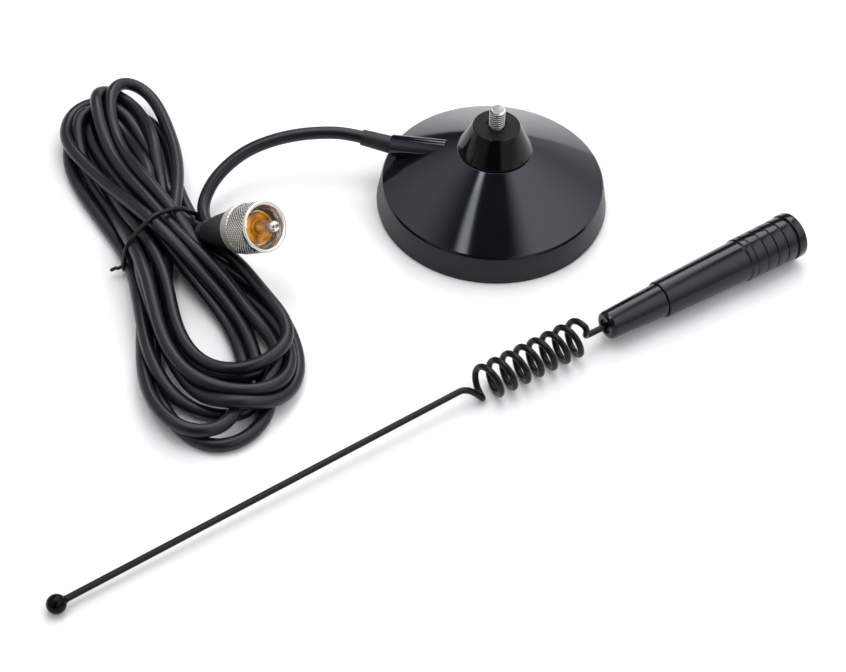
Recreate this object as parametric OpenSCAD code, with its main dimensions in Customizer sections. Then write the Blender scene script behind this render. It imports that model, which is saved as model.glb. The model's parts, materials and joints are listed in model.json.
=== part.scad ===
// Omnidirectional whip antenna on a magnetic base, with its coaxial lead.
// The base stands at the origin, +Z up; the unscrewed whip and the tied lead lie beside it.
// All sizes are in millimetres.

/* [Magnetic base] */
// Diameter of the base where it meets the surface
base_d = 90; // [88:0.5:92]
// Diameter of the edge between side wall and cone
rim_d = 86.4; // [85:0.2:87]
// Height of that edge
rim_h = 12.1; // [11.5:0.1:12.6]
// Diameter of the flat land on top of the cone
land_d = 28.8; // [28.6:0.1:29.4]
// Height of that land
land_h = 28.4; // [28:0.1:29]
// Wall of the moulded shell
shell_wall = 2.2; // [1.9:0.1:2.4]
// Thickness of the rubber pad under the magnet
pad_h = 1.0; // [0.8:0.1:1.4]
// Outer diameter of the ring magnet
magnet_d = 60; // [54:1:62]
// Height of the ring magnet
magnet_h = 7; // [5:0.5:8]

/* [Stud and insulator] */
// Thread diameter of the mounting stud
stud_d = 6; // [6:6:6]
// Length of stud that stands clear of the insulator
stud_reach = 8; // [7:0.5:9]
// Diameter of the insulator at its foot
insulator_d = 28.4; // [28:0.1:28.6]
// Diameter of the insulator's flat top
insulator_top_d = 17.9; // [17:0.1:19]
// Height of the insulator
insulator_h = 11.7; // [11:0.1:12.5]

/* [Cable entry] */
// Outer diameter of the boss that the cable leaves
boss_d = 8.4; // [8.2:0.1:8.8]
// Bearing of the boss round the base, in degrees
boss_bearing = 166; // [160:1:170]
// Droop of the boss below level, in degrees
boss_droop = 8; // [4:1:10]
// Length of strain relief outside the boss
relief_length = 12.2; // [11:0.1:14]

/* [Coaxial cable and plug] */
// Diameter of the coaxial cable
cable_d = 4.95; // [4.95:0.05:5]
// Height of the tied hank
hank_h = 15; // [13:0.5:17]
// Diameter of the twist tie
tie_d = 1.8; // [1.5:0.1:2]
// Outside diameter of the plug's coupling ring
ring_d = 19; // [18.6:0.1:19.4]
// Length of the coupling ring
ring_length = 16.5; // [16:0.1:18]
// Diameter of the plug's centre pin
pin_d = 4; // [3.9:0.05:4]
// Reach of the centre pin past the coupling ring's mouth
pin_reach = 7; // [6:0.2:8]

/* [Whip] */
// Diameter of the handle's end flange
flange_d = 18.2; // [18:0.1:18.8]
// Length of the handle and its nose together
handle_length = 89.2; // [88:0.2:90]
// Diameter of the whip wire
wire_d = 2.4; // [2.2:0.1:2.5]
// Mean diameter of the open coil
coil_mean_d = 12; // [11.4:0.1:12.2]
// Distance between neighbouring turns of the open coil
coil_pitch = 5.87; // [5.6:0.01:6]
// Distance from the handle's end face to the tip ball's centre
whip_reach = 311.8; // [308:0.2:316]
// Diameter of the tip ball
ball_d = 6.8; // [6:0.1:7]

/* [Hidden] */

$fn = 96;
fit = 0.05;          // clearance between parts that are pressed or screwed together
eps = 0.02;          // overshoot of a cut past the face that it opens
base_r = base_d / 2;
rim_r = rim_d / 2;
land_r = land_d / 2;
magnet_r = magnet_d / 2;
stud_r = stud_d / 2;
cable_r = cable_d / 2;
wire_r = wire_d / 2;
coil_r = coil_mean_d / 2;
cone_slope = (land_h - rim_h) / (rim_r - land_r);
roof_drop = shell_wall * sqrt(1 + cone_slope * cone_slope);   // wall measured straight down
plate_h = 1.2;
magnet_z = pad_h + plate_h;
pole_z = magnet_z + magnet_h;
screw_ring_r = 37;
screw_bearings = [45, 135, 225, 315];
screw_r = 1.2;
neck_r = 6.4;
insulator_z = land_h;
insulator_top_z = insulator_z + insulator_h;
stud_top_z = insulator_top_z + stud_reach;
washer_h = 1.2;
tag_h = 0.6;
nut_h = 5;
nut_flats = 10;
underside_z = land_h - shell_wall;
tag_z = underside_z - washer_h - tag_h;
nut_z = tag_z - nut_h;

// The boss leaves the cone at its own bearing; +Z of its frame points outwards.
boss_end_r = 40.8;
boss_end_z = 18.7;
boss_end = [boss_end_r * cos(boss_bearing), boss_end_r * sin(boss_bearing), boss_end_z];
boss_turn = [0, 90 + boss_droop, boss_bearing];
boss_depth = 22;
socket_r = 3.35;
socket_depth = 6;
inner_cable_length = 27;
collar_r = 3.3;
// The strain relief bends a little from the boss, up and back.
relief_bearing = 169;
relief_rise = 6.5;
relief_turn = [0, 90 - relief_rise, relief_bearing];
relief_dir = [cos(relief_rise) * cos(relief_bearing), cos(relief_rise) * sin(relief_bearing),
              sin(relief_rise)];
relief_end = boss_end + relief_length * relief_dir;
boss_dir = [cos(boss_droop) * cos(boss_bearing), cos(boss_droop) * sin(boss_bearing),
            -sin(boss_droop)];
cable_inner_end = boss_end - inner_cable_length * boss_dir;

// Route of the lead from the boss, through the strain relief, down to the hank.
lead_route = [boss_end, relief_end, relief_end + 1.2 * relief_dir, [-60, 13.3, 20.7],
              [-69, 13.1, 20.5], [-79, 11.5, 19.8], [-88, 8.8, 18.5], [-96, 5, 16.6],
              [-102.8, -0.4, 14], [-107.3, -5.8, 11.4], [-110, -11, 8.8],
              [-111.2, -16, 6.4], [-111.2, -21, 4.4], [-110.2, -26, 3], [-108, -31, 2.6],
              [-105.6, -35.6, 2.5]];
// Outline of the hank: round ends joined at a narrow waist.
hank_upper = [[-158, 29], 15.5];
hank_top = [[-150, 37], 20.5];
hank_waist = [[-125.3, -33], 12];
hank_lower = [[-98, -106], 29.5];
hank_side = [[-90, -99], 24];
tie_centre = [-125, -33.5];
tie_bearing = 48.5;
tie_width = 33;
tie_height = 15.8;

// Plug frame: origin in the mouth of the coupling ring, +Z the way the plug points.
plug_mouth = [-83.1, -53.6, 34];
plug_rise = 36.3;
plug_bearing = -37;
plug_turn = [0, 90 - plug_rise, plug_bearing];
plug_dir = [cos(plug_rise) * cos(plug_bearing), cos(plug_rise) * sin(plug_bearing), sin(plug_rise)];
boot_back = 41;
boot_rear = plug_mouth - boot_back * plug_dir;
barrel_r = 6.3;
ring_bore_r = 7.94;
sleeve_r = 5.4;
sleeve_z = -17;
pin_shank_r = 1.4;
disc_z = -4.9;
tail_length = 4.5;
notch_r = 4.5;

// Whip frame: origin in the centre of the handle's end face, +Z towards the tip ball,
// +X down and +Y towards the front.
whip_origin = [115.1, -20.6, flange_d / 2 + 0.02];
whip_turn = [0, 90.75, 214.9];
flange_h = 3.6;
grip_end = 26.2;
step_at = 64.2;
grip_grooves = [8.9, 13.8, 18.7, 23.6];
hook_at = 96.4;
coil_start = [0.3, -1.33, 98.8];
coil_end = [0, -1, 149.2];
coil_phase = 160;
first_turn = 0.03;
last_turn = 7.57;
rod_start = [-0.3, -2.5, 146.5];
ball_centre = [1.6, 1.46, whip_reach];
insert_depth = 12;
tapped_r = stud_r + 0.02;
tapped_depth = 10;

// --- Functions for tubes that follow a route ---
function unit(v) = v / norm(v);
function drop(v, t) = unit(v - (v * t) * t);
// Point on a Catmull-Rom curve between p[1] and p[2].
function curve_point(p, t) = 0.5 * (2 * p[1] + (p[2] - p[0]) * t
    + (2 * p[0] - 5 * p[1] + 4 * p[2] - p[3]) * t * t
    + (3 * p[1] - p[0] - 3 * p[2] + p[3]) * t * t * t);
function route_part(r, i) = [r[max(i - 1, 0)], r[i], r[i + 1], r[min(i + 2, len(r) - 1)]];
function smooth_route(r, steps) = concat(
    [for (i = [0 : len(r) - 2]) for (s = [0 : steps - 1]) curve_point(route_part(r, i), s / steps)],
    [r[len(r) - 1]]);
function tangent(r, i) = unit(r[min(i + 1, len(r) - 1)] - r[max(i - 1, 0)]);
// Side directions carried along the route without twist.
function sides(r, i, side) = i == len(r) ? []
    : let (here = drop(side, tangent(r, i))) concat([here], sides(r, i + 1, here));

module tube(r, radius, corners) {
    side = sides(r, 0, abs(tangent(r, 0) * [0, 0, 1]) > 0.9 ? [1, 0, 0] : [0, 0, 1]);
    last = len(r) - 1;
    points = [for (i = [0 : last]) for (k = [0 : corners - 1])
        r[i] + radius * (cos(360 * k / corners) * side[i]
            + sin(360 * k / corners) * cross(tangent(r, i), side[i]))];
    wall = [for (i = [0 : last - 1]) for (k = [0 : corners - 1])
        let (n = (k + 1) % corners, a = i * corners, b = a + corners) [a + k, b + k, b + n, a + n]];
    start = [[for (k = [0 : corners - 1]) k]];
    end = [[for (k = [corners - 1 : -1 : 0]) last * corners + k]];
    polyhedron(points = points, faces = concat(wall, start, end), convexity = 8);
}

module ring(outer_r, inner_r, h) {
    difference() {
        cylinder(r = outer_r, h = h);
        translate([0, 0, -eps]) cylinder(r = inner_r, h = h + 2 * eps);
    }
}

module at_screws() {
    for (a = screw_bearings) rotate([0, 0, a]) translate([screw_ring_r, 0, 0]) children();
}

module at_boss() {
    translate(boss_end) rotate(boss_turn) children();
}

module at_relief() {
    translate(boss_end) rotate(relief_turn) children();
}

module at_plug() {
    translate(plug_mouth) rotate(plug_turn) children();
}

module at_whip() {
    translate(whip_origin) rotate(whip_turn) children();
}

// --- Magnetic base ---
module rubber_pad() {
    color("#161616") cylinder(r = base_r - 0.4, h = pad_h);
}

module base_plate() {
    color("#9a9da0") difference() {
        translate([0, 0, pad_h]) cylinder(r = base_r - shell_wall - 0.45, h = plate_h);
        translate([0, 0, pad_h]) at_screws() {
            translate([0, 0, -eps]) cylinder(r1 = 2.5 + fit, r2 = screw_r + fit, h = plate_h + 2 * eps);
        }
    }
}

module plate_screws() {
    color("#b9bcc0") translate([0, 0, pad_h]) at_screws() {
        cylinder(r1 = 2.5, r2 = screw_r, h = plate_h);
        cylinder(r = screw_r, h = plate_h + 7);
    }
}

module ring_magnet() {
    color("#2b2b2d") translate([0, 0, magnet_z]) ring(magnet_r, 12, magnet_h);
}

module pole_plate() {
    color("#9a9da0") translate([0, 0, pole_z]) ring(magnet_r, 8, plate_h);
}

module base_shell() {
    roof_z = rim_h - roof_drop;
    profile = [[base_r, pad_h], [rim_r + 0.12, rim_h - 0.8], [rim_r - 0.08, rim_h - 0.15],
               [rim_r - 0.5, rim_h + 0.2], [land_r, land_h], [neck_r, land_h],
               [neck_r, underside_z], [land_r - 0.6, underside_z],
               [rim_r - shell_wall, roof_z + shell_wall * cone_slope], [base_r - shell_wall, pad_h]];
    color("#101216") difference() {
        union() {
            rotate_extrude() polygon(profile);
            at_boss() translate([0, 0, -boss_depth]) cylinder(d = boss_d, h = boss_depth);
            translate([0, 0, magnet_z]) at_screws() cylinder(r = 3, h = 11);
        }
        at_boss() translate([0, 0, -boss_depth - 6]) cylinder(r = cable_r + 0.08, h = boss_depth + 8);
        at_boss() translate([0, 0, -socket_depth]) cylinder(r = socket_r, h = socket_depth + 4);
        at_boss() translate([0, 0, -inner_cable_length - 1]) cylinder(r = collar_r + 0.1, h = 5.8);
        translate([0, 0, magnet_z - 1]) at_screws() cylinder(r = screw_r + fit, h = 9);
    }
}

module stud_insulator() {
    foot_r = insulator_d / 2;
    top_r = insulator_top_d / 2;
    profile = [[stud_r + fit, -2], [neck_r - fit, -2], [neck_r - fit, 0], [foot_r, 0],
               [foot_r, 0.4], [top_r + 0.25, insulator_h - 0.5], [top_r - 0.25, insulator_h],
               [stud_r + fit, insulator_h]];
    color("#08090b") translate([0, 0, insulator_z]) rotate_extrude() polygon(profile);
}

module mounting_stud() {
    chamfer = 0.6;
    foot_z = nut_z - 2;
    waist_z = underside_z + 1;
    thread_z = insulator_top_z + 0.5;
    color("#c3c6ca") union() {
        translate([0, 0, foot_z]) cylinder(r = stud_r, h = waist_z - foot_z);
        translate([0, 0, waist_z]) cylinder(r = stud_r - 0.6, h = thread_z - waist_z);
        translate([0, 0, thread_z]) cylinder(r = stud_r, h = stud_top_z - chamfer - thread_z);
        translate([0, 0, stud_top_z - chamfer]) cylinder(r1 = stud_r, r2 = stud_r - chamfer, h = chamfer);
    }
}

module fibre_washer() {
    color("#7a3b22") translate([0, 0, underside_z - washer_h]) ring(8, stud_r + fit, washer_h);
}

module solder_tag() {
    color("#c9b26a") translate([0, 0, tag_z]) difference() {
        union() {
            cylinder(r = 5.5, h = tag_h);
            rotate([0, 0, boss_bearing]) translate([4, -1.5, 0]) cube([7, 3, tag_h]);
        }
        translate([0, 0, -eps]) cylinder(r = stud_r + fit, h = tag_h + 2 * eps);
    }
}

module stud_nut() {
    color("#b9bcc0") translate([0, 0, nut_z]) difference() {
        cylinder(r = nut_flats / 2 / cos(30), h = nut_h, $fn = 6);
        translate([0, 0, -eps]) cylinder(r = stud_r + fit, h = nut_h + 2 * eps);
    }
}

// --- Cable entry ---
module strain_relief() {
    stub_r = socket_r - fit;
    color("#17181a") difference() {
        union() {
            at_boss() translate([0, 0, -socket_depth + 0.2]) cylinder(r = stub_r, h = socket_depth + 1.4);
            at_relief() translate([0, 0, 1]) cylinder(r1 = 3.45, r2 = 3.1, h = relief_length - 1);
        }
        at_boss() translate([0, 0, -socket_depth]) cylinder(r = cable_r + fit, h = socket_depth + 0.6);
        at_relief() translate([0, 0, -0.6]) cylinder(r = cable_r + fit, h = relief_length + 1);
    }
}

module cable_inner() {
    color("#121315") at_boss() translate([0, 0, -inner_cable_length])
        cylinder(r = cable_r, h = inner_cable_length + 0.3);
}

module crimp_collar() {
    color("#c3c6ca") at_boss() translate([0, 0, -inner_cable_length]) ring(collar_r, cable_r + fit, 4.5);
}

module centre_lead() {
    start = cable_inner_end - 0.1 * boss_dir;
    tag_tip = [10 * cos(boss_bearing), 10 * sin(boss_bearing), tag_z];
    bend = [12.4 * cos(boss_bearing), 12.4 * sin(boss_bearing), 22.6];
    color("#e8e2d0") tube(smooth_route([start, bend, tag_tip - [0, 0, 0.75]], 4), 0.7, 8);
}

module braid_pigtail() {
    side = 14;
    low = boss_bearing + side;
    start = cable_inner_end - 1.2 * boss_dir - [0, 0, 1.8];
    route = [start, [-12.7, 1.9, 18], [-15.5, 1, 15.6], [-25.5, 0.5, 13.6], [-31, 0, 11.5],
             [34.5 * cos(low), 34.5 * sin(low), 8.5], [34.5 * cos(low), 34.5 * sin(low), 3.3]];
    color("#b08a5a") tube(smooth_route(route, 2), 0.9, 8);
}

module ground_tag() {
    low = boss_bearing + 14;
    color("#c9b26a") translate([34.5 * cos(low), 34.5 * sin(low), magnet_z]) cylinder(r = 3, h = 1);
}

// --- Coaxial lead ---
module cable_lead() {
    color("#151618") tube(smooth_route(lead_route, 1), cable_r, 10);
}

module disc_at(c) {
    translate(c[0]) circle(r = c[1], $fn = 48);
}

module hank_outline() {
    hull() {
        disc_at(hank_upper);
        disc_at(hank_top);
        disc_at(hank_waist);
    }
    hull() {
        disc_at(hank_waist);
        disc_at(hank_lower);
        disc_at(hank_side);
    }
}

// Upright stadium in the plane of the tie, with a wall of tie_d and a given extra all round.
module tie_loop(extra) {
    outer = tie_height / 2 + extra;
    inner = tie_height / 2 - tie_d - extra;
    reach = (tie_width - tie_height) / 2;
    translate([tie_centre[0], tie_centre[1], tie_height / 2 + 0.1]) rotate([90, 0, tie_bearing])
        translate([0, 0, -tie_d / 2 - extra]) linear_extrude(tie_d + 2 * extra) difference() {
            union() {
                translate([-reach, 0]) circle(r = outer);
                translate([reach, 0]) circle(r = outer);
                square([2 * reach, 2 * outer], center = true);
            }
            translate([-reach, 0]) circle(r = inner);
            translate([reach, 0]) circle(r = inner);
            square([2 * reach, 2 * inner], center = true);
        }
}

module cable_hank() {
    color("#17181a") difference() {
        linear_extrude(hank_h) hank_outline();
        tie_loop(0.1);
        at_plug() translate([0, 0, -boot_back - tail_length - 1]) cylinder(r = notch_r, h = tail_length + 2);
        at_plug() translate([0, 0, -boot_back - 1]) cylinder(r1 = notch_r, r2 = notch_r + 4.2, h = 23);
    }
}

module cable_tie() {
    end = tie_centre - (tie_width / 2 - tie_d) * [cos(tie_bearing), sin(tie_bearing)];
    color("#0c0c0d") union() {
        tie_loop(0);
        translate([end[0], end[1], 6]) rotate([0, -90, 8]) cylinder(d = tie_d, h = 6);
    }
}

module cable_tail() {
    start = -boot_back - tail_length;
    color("#151618") at_plug() translate([0, 0, start]) cylinder(r = cable_r, h = -20 - start);
}

// --- Plug ---
module plug_boot() {
    profile = [[cable_r + fit, -boot_back], [3.8, -boot_back], [4.3, -boot_back + 1], [6.2, -29],
               [7.5, -20], [7.8, sleeve_z], [sleeve_r + 0.03, sleeve_z], [sleeve_r + 0.03, -24],
               [cable_r + fit, -25.5]];
    color("#101113") at_plug() rotate_extrude() polygon(profile);
}

module plug_reducer() {
    color("#c3c6ca") at_plug() translate([0, 0, -23.5]) ring(4.6, cable_r + fit, 6);
}

module plug_body() {
    flange_z = -10.5;
    color("#c3c6ca") at_plug() difference() {
        union() {
            translate([0, 0, -23.5]) cylinder(r = sleeve_r, h = 7);
            translate([0, 0, sleeve_z + 0.05]) cylinder(r = barrel_r, h = 12.5);
            translate([0, 0, flange_z]) cylinder(r = ring_bore_r - 0.3, h = 1.5);
        }
        translate([0, 0, -16]) cylinder(r = 5.7, h = 12);
        translate([0, 0, -24]) cylinder(r = 4.6 + fit, h = 6.6);
        translate([0, 0, -18]) cylinder(r = 3, h = 3);
    }
}

module plug_insulator() {
    color("#c07a1e") at_plug() difference() {
        union() {
            translate([0, 0, -16 + fit]) cylinder(r = 5.65, h = 16 + disc_z - fit);
            translate([0, 0, disc_z - 0.5]) cylinder(r = 3.3, h = 1.3);
        }
        translate([0, 0, -17]) cylinder(r = pin_shank_r + fit, h = 16);
    }
}

module plug_pin() {
    round_r = pin_d / 2;
    front_z = disc_z + 1.3;
    color("#d5d7da") at_plug() difference() {
        union() {
            translate([0, 0, -17]) cylinder(r = pin_shank_r, h = 17 + front_z);
            translate([0, 0, front_z]) cylinder(r = round_r, h = pin_reach - round_r - front_z);
            translate([0, 0, pin_reach - round_r]) sphere(r = round_r);
        }
        translate([0, 0, pin_reach - 5]) cylinder(r = 0.8, h = 6);
    }
}

module coupling_ring() {
    outer_r = ring_d / 2;
    profile = [[barrel_r + 0.08, -ring_length], [8.2, -ring_length], [outer_r, -12],
               [outer_r, -0.3], [outer_r - 0.3, 0], [ring_bore_r, 0],
               [ring_bore_r, -13], [barrel_r + 0.08, -13]];
    color("#c8cacd") at_plug() rotate_extrude() polygon(profile);
}

// --- Whip ---
module handle_body() {
    flange_r = flange_d / 2;
    color("#141518") at_whip() difference() {
        union() {
            rotate_extrude() polygon([[0, 0], [flange_r - 0.4, 0], [flange_r, 0.4], [flange_r, flange_h],
                                      [8.7, flange_h], [8.5, grip_end], [8.05, grip_end],
                                      [7.0, step_at], [0, step_at]]);
        }
        for (z = grip_grooves) translate([0, 0, z - 0.25]) ring(10, 8.25, 0.5);
        translate([0, 0, -eps]) cylinder(r = 5 + fit, h = insert_depth + eps);
        translate([0, 0, insert_depth - 1]) cylinder(r = 5.2, h = step_at - insert_depth + 2);
    }
}

module handle_nose() {
    nose_end = handle_length;
    color("#141518") at_whip() rotate_extrude() polygon([
        [wire_r + 0.08, step_at + 5], [2.9, step_at + 5], [2.9, step_at - 6], [5.15, step_at - 6],
        [5.15, step_at + 0.02], [6.4, step_at + 0.02], [5.3, nose_end - 1.2], [5.0, nose_end - 0.4],
        [4.2, nose_end], [2.8, nose_end], [2.8, nose_end - 2], [wire_r + 0.08, nose_end - 2]]);
}

module threaded_insert() {
    color("#c9a552") at_whip() difference() {
        cylinder(r = 5, h = insert_depth);
        translate([0, 0, -eps]) cylinder(r = tapped_r, h = tapped_depth + eps);
    }
}

module coil_former() {
    color("#d9d4c4") at_whip() translate([0, 0, insert_depth]) ring(3.6, 1.2, step_at - 7.5 - insert_depth);
}

module loading_coil() {
    color("#b5652c") at_whip() translate([0, 0, insert_depth + 4]) ring(4.5, 3.65, 30);
}

module rod_ferrule() {
    color("#c9a552") at_whip() translate([0, 0, step_at - 7.5]) ring(2.8, wire_r + 0.03, 12);
}

module nose_seal() {
    color("#0a0a0b") at_whip() translate([0, 0, handle_length - 2]) ring(2.75, wire_r + 0.03, 1.2);
}

// The wire is straight from the ferrule, winds the open coil, and runs straight on to the ball.
coil_axis = unit(coil_end - coil_start);
function coil_point(turns) =
    let (a = coil_phase + 360 * turns)
    coil_start + coil_axis * coil_pitch * turns + coil_r * [cos(a), sin(a), 0];
rod_dir = unit(ball_centre - rod_start);
// Curve that leaves point a along u and arrives at point b along v.
function bend(a, u, b, v, n) = [for (i = [1 : n - 1])
    let (t = i / n, s = 1 - t)
    s * s * s * a + 3 * s * s * t * (a + u) + 3 * s * t * t * (b - v) + t * t * t * b];
function heading(turns) = unit(coil_point(turns + 0.01) - coil_point(turns - 0.01));

module at_ball() {
    translate(ball_centre) rotate([0, acos(rod_dir[2]), atan2(rod_dir[1], rod_dir[0])]) children();
}

module whip_wire() {
    steps = 116;
    turns = last_turn - first_turn;
    hook = [0, 0, hook_at];
    rod_from = rod_start + 5.5 * rod_dir;
    helix = [for (i = [0 : steps]) coil_point(first_turn + turns * i / steps)];
    hook_in = bend(hook, [0, 0, 3.4], helix[0], 3.2 * heading(first_turn), 9);
    hook_out = bend(helix[steps], 3.6 * heading(last_turn), rod_from, 5.5 * rod_dir, 9);
    route = concat([[0, 0, step_at - 3], hook - [0, 0, 1], hook], hook_in, helix, hook_out,
                   [rod_from, rod_from + rod_dir, ball_centre]);
    color("#101113") at_whip() tube(route, wire_r, 10);
}

module tip_ball() {
    color("#101113") at_whip() at_ball() difference() {
        sphere(d = ball_d);
        translate([0, 0, -ball_d]) cylinder(r = wire_r + fit, h = ball_d + 0.01);
    }
}

rubber_pad();
base_plate();
plate_screws();
ring_magnet();
pole_plate();
base_shell();
stud_insulator();
mounting_stud();
fibre_washer();
solder_tag();
stud_nut();
strain_relief();
cable_inner();
crimp_collar();
centre_lead();
braid_pigtail();
ground_tag();
cable_lead();
cable_hank();
cable_tie();
cable_tail();
plug_boot();
plug_reducer();
plug_body();
plug_insulator();
plug_pin();
coupling_ring();
handle_body();
handle_nose();
threaded_insert();
coil_former();
loading_coil();
rod_ferrule();
nose_seal();
whip_wire();
tip_ball();
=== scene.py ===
"""Looks of the magnetic-base whip antenna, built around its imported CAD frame.

Lengths in the tables below are in millimetres, in the frame of the CAD part; MM turns them into metres.
"""

import json
import math

import bpy
import numpy as np
from mathutils import Matrix, Vector


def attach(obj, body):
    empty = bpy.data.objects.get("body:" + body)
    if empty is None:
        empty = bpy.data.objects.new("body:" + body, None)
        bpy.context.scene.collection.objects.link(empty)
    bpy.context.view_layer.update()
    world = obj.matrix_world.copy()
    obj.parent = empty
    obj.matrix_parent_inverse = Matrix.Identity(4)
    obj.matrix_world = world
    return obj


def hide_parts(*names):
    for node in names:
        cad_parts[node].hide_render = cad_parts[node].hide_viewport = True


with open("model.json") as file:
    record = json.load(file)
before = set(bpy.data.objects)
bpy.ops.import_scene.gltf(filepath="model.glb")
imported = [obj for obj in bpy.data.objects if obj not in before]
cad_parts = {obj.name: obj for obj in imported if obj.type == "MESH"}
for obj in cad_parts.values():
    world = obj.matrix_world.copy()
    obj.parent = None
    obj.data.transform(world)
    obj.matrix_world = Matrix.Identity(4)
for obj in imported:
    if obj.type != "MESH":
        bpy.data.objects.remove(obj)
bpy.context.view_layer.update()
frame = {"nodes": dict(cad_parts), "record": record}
nodes = frame["nodes"]

MM = 0.001

# ---------------------------------------------------------------- camera
CAMERA_PLACE = Vector((-0.0245, -0.5688, 0.5454))
CAMERA_DOWN = math.radians(47.72)      # how far the camera looks below level
CAMERA_ROLL = math.radians(2.39)
CAMERA_LENS = 85.1
SENSOR_WIDTH = 36


def make_camera():
    data = bpy.data.cameras.new("camera")
    data.lens = CAMERA_LENS
    data.sensor_width = SENSOR_WIDTH
    data.clip_start = 0.01
    data.clip_end = 20
    camera = bpy.data.objects.new("camera", data)
    bpy.context.scene.collection.objects.link(camera)
    tilt = Matrix.Rotation(math.pi / 2 - CAMERA_DOWN, 4, "X")
    camera.matrix_world = Matrix.Translation(CAMERA_PLACE) @ tilt @ Matrix.Rotation(CAMERA_ROLL, 4, "Z")
    bpy.context.scene.camera = camera


make_camera()

# ---------------------------------------------------------------- the coaxial cable's line
CABLE_D = 4.95
PLUG_MOUTH = np.array([-83.1, -53.6, 34.0])
TIE_CENTRE = np.array([-125.0, -33.5])
TIE_BEARING = math.radians(48.5)

# From the boss, through the strain relief, down to the hank: the route in the CAD source.
LEAD = [
    (-39.59, 9.87, 18.7), (-51.49, 12.18, 20.08), (-52.66, 12.41, 20.22), (-60, 13.3, 20.7),
    (-69, 13.1, 20.5), (-79, 11.5, 19.8), (-88, 8.8, 18.5), (-96, 5, 16.6), (-102.8, -0.4, 14),
    (-107.3, -5.8, 11.4), (-110, -11, 8.8), (-111.2, -16, 6.4), (-111.2, -21, 4.4),
    (-110.2, -26, 3), (-108, -31, 2.6),
]
# The hank's loops, lower and upper in turn, in the order in which the cable runs through them.
# These points weren't chosen by hand as millimetres. Each strand was followed by eye in the photograph, and
# a helper script placed it with the fitted camera, thinned it out and rounded it. 80 of the 115 points are
# as that script gave them, and the others were then moved by hand.
LOOPS = [
    [(-83, -67, 6), (-73, -85, 8), (-78, -99, 9.5), (-93, -104, 9.5), (-101, -101, 10),
     (-109, -92, 10.5), (-114, -82, 11), (-122, -55, 12)],
    [(-144, -17, 7), (-156, 6, 3), (-163, 20, 2.5), (-159, 32, 2.5), (-147, 32, 2.5),
     (-142, 17, 2.5), (-134, -4, 2.5)],
    [(-92, -55, 3), (-74, -77, 3), (-69, -99, 3.5), (-80, -115, 5), (-99, -114, 7),
     (-117, -90, 8), (-124, -73, 8), (-130, -55, 8)],
    [(-137, 8, 2.5), (-150, 35, 2.5), (-160, 42, 4), (-169, 34, 6), (-166, 14, 7.5),
     (-151, -8, 9), (-141, -20, 10.5), (-130, -32, 12)],
    [(-111, -52, 12), (-94, -70, 6), (-84, -93, 3), (-79, -116, 2.5), (-89, -130, 2.5),
     (-98, -131, 2.5), (-114, -116, 2.5), (-122, -85, 2.5), (-128, -56, 4)],
    [(-133, 6, 4), (-142, 31, 4), (-148, 42, 5), (-156, 45, 7), (-160, 37, 9),
     (-150, 10, 10), (-135, -14, 11.5), (-126, -27, 12.5)],
    [(-103, -54, 10), (-93, -64, 8), (-79, -82, 4), (-76, -94, 3), (-84, -113, 2.5),
     (-107, -115, 4), (-123, -93, 5), (-129, -61, 3.5)],
    [(-145, -26, 2.5), (-155, -13, 2.5), (-163, -1, 2.5), (-168, 24, 2.5), (-155, 38, 2.5),
     (-137, 34, 2.5), (-126, 8, 2.5), (-120, -12, 2.5)],
    [(-84, -66, 3), (-77, -79, 2.5), (-75, -91, 2.5), (-80, -100, 2.5), (-95, -104, 4.5),
     (-110, -92, 7), (-120, -62, 7.5)],
    [(-123, 3, 8), (-132, 31, 8), (-140, 46, 8), (-148, 50, 8), (-154, 43, 8),
     (-153, 32, 9), (-148, 13, 10), (-142, 0, 11), (-133, -14, 12), (-122, -29, 13)],
    [(-100, -54, 8), (-81, -74, 6), (-75, -86, 5), (-73, -97, 5.5), (-76, -107, 6.5),
     (-82, -112, 7), (-99, -112, 9.5), (-115, -95, 12), (-126, -65, 12.5)],
    [(-141, -28, 6), (-155, -2, 4), (-164, 17, 4), (-165, 27, 6), (-158, 34, 7),
     (-149, 29, 6), (-143, 14, 4), (-133, -6, 3)],
    [(-126, -81, 3), (-119, -114, 7), (-104, -129, 7), (-91, -124, 5), (-86, -105, 2.5),
     (-93, -80, 3), (-100, -68, 4), (-115, -51, 8)],
    [(-130, -30, 7), (-138, -15, 7), (-147, -3, 7), (-155, 10, 6.5), (-162, 26, 6),
     (-159, 37, 4), (-150, 37, 3), (-144, 26, 2.5), (-134, 4, 2.5)],
]
# From the last loop up into the plug's boot.
TAIL = [
    (-119.5, -23, 3.5), (-115.2, -29, 5.4), (-112.1, -31.8, 7.4), (-109.5, -33.7, 9.7),
    (-98.5, -42, 19.8),
]

LINE_STEP = 3.0          # distance between points of the settled line
DRAWN_STEP = 1.5         # distance between rings of the cable's mesh
SPLINE_STEPS = 24        # fine points between two route points
LEAD_HELD = 11           # the lead stays as it is up to this point of LEAD
END_HELD = 3             # points at the plug's end that stay as they are
SETTLE_ROUNDS = 400
LISTING_ROUNDS = 6       # rounds between two searches for turns that are near each other
REST_GAP = 5.1           # distance between the lines of two turns that lie on each other
NEAR_GAP = 1.6 * REST_GAP            # turns nearer than this are looked at in each round
SAME_TURN = 3.2 * CABLE_D            # points this near along the cable never push each other
PUSH_SHARE = 0.9         # part of an overlap that one round takes away
BENDING_PASSES = 5
BENDING_SHARE = 0.45
HOLD_AT_TIE = 0.002      # how strongly a point is drawn back to its place, each round
HOLD_AT_TIPS = 0.06      # more of it, growing from the tie's end of the hank to its tips
TIE_REACH = 15           # distance from the tie where it starts to grow
TIP_REACH = 50           # and over how much further it grows
LATE_HOLD = 0.4          # the last rounds hold less, so that the gaps open fully
LATE_FROM = 0.6
HOLD_BY_AXIS = np.array([1, 1, 0.2])     # turns keep their place seen from above, and are free to pile up


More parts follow.
